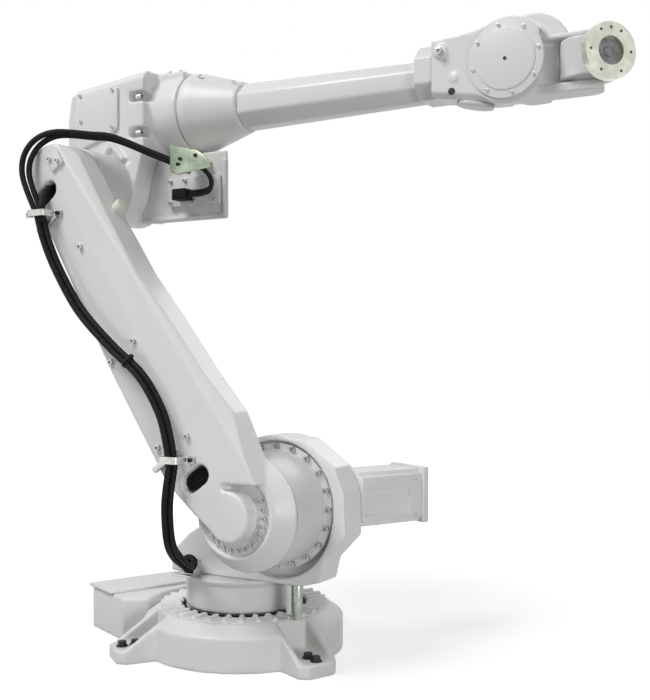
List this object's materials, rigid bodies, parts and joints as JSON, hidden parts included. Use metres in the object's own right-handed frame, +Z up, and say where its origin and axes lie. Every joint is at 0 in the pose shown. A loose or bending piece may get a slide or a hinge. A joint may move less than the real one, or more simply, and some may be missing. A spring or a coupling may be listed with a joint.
{
  "type": "industrial robot arm",
  "caption": "Floor-standing industrial robot arm with ribbed round base, turning turret, cast lower arm, elbow housing, slim forearm, bending wrist, tool flange and black dress cables.",
  "frame": {"origin": "where axis 1 meets the floor, on the underside of the base", "axes": "+Z up along axis 1, +X along the reach of the arm in this pose, +Y to the far side"},
  "size_m": [1.5563, 0.7805, 1.5638],
  "materials": {
    "paint": "light grey enamel on cast metal",
    "zinc": "pale yellow-green zinc plate",
    "rubber": "off-white bumper plastic",
    "cable": "matt black cable jacket"
  },
  "bodies": {
    "base": {"base_casting": "paint", "base_rib_ring": "paint", "rear_box": "paint", "rear_box_lid": "paint"},
    "turret": {"turret_neck": "paint", "turret_frame": "paint", "axis2_gearbox": "paint", "axis2_motor": "paint", "axis2_motor_cap": "paint", "stop_pin": "zinc", "cable_foot_clip": "zinc", "low_loop_cable": "cable"},
    "lower_arm": {"lower_arm": "paint", "arm_hub_ring": "paint", "arm_tip_cap": "paint", "arm_bumper": "rubber", "lower_clamp": "zinc", "upper_clamp": "zinc", "arm_cable": "cable"},
    "elbow": {"axis3_gearbox": "paint", "elbow_housing": "paint", "elbow_rear_cover": "paint", "axis3_motor_box": "paint", "connector_plate": "paint", "cable_plug": "cable", "cable_bracket": "zinc", "tail_cable": "cable", "high_loop_cable": "cable"},
    "forearm": {"forearm_root": "paint", "forearm_tube": "paint", "wrist_collar": "paint", "wrist_housing": "paint", "wrist_side_cover": "paint", "wrist_under_cover": "paint"},
    "tilt": {"tilt_body": "paint"},
    "flange": {"tool_flange": "zinc"}
  },
  "joints": [
    {"name": "axis1", "type": "hinge", "parent": "base", "child": "turret", "pos_m": [0, 0, 0], "axis": [0, 0, 1], "range_deg": [-194, 146]},
    {"name": "axis2", "type": "hinge", "parent": "turret", "child": "lower_arm", "pos_m": [0.175, 0, 0.4], "axis": [0, 1, 0], "range_deg": [-56.7, 183.3], "deforming": ["low_loop_cable"]},
    {"name": "axis3", "type": "hinge", "parent": "lower_arm", "child": "elbow", "pos_m": [-0.37402, 0, 1.23581], "axis": [0, -1, 0], "range_deg": [-41.7, 213.3], "deforming": ["high_loop_cable"]},
    {"name": "axis4", "type": "hinge", "parent": "elbow", "child": "forearm", "pos_m": [0, 0, 1.43781], "axis": [1, 0, 0], "range_deg": [-400, 400]},
    {"name": "axis5", "type": "hinge", "parent": "forearm", "child": "tilt", "pos_m": [0.92998, 0, 1.43781], "axis": [0, 0, 1], "range_deg": [-78.6, 161.4]},
    {"name": "axis6", "type": "hinge", "parent": "tilt", "child": "flange", "pos_m": [0.99899, -0.06084, 1.43781], "axis": [0.7501, -0.6613, 0], "range_deg": [-400, 400]}
  ]
}
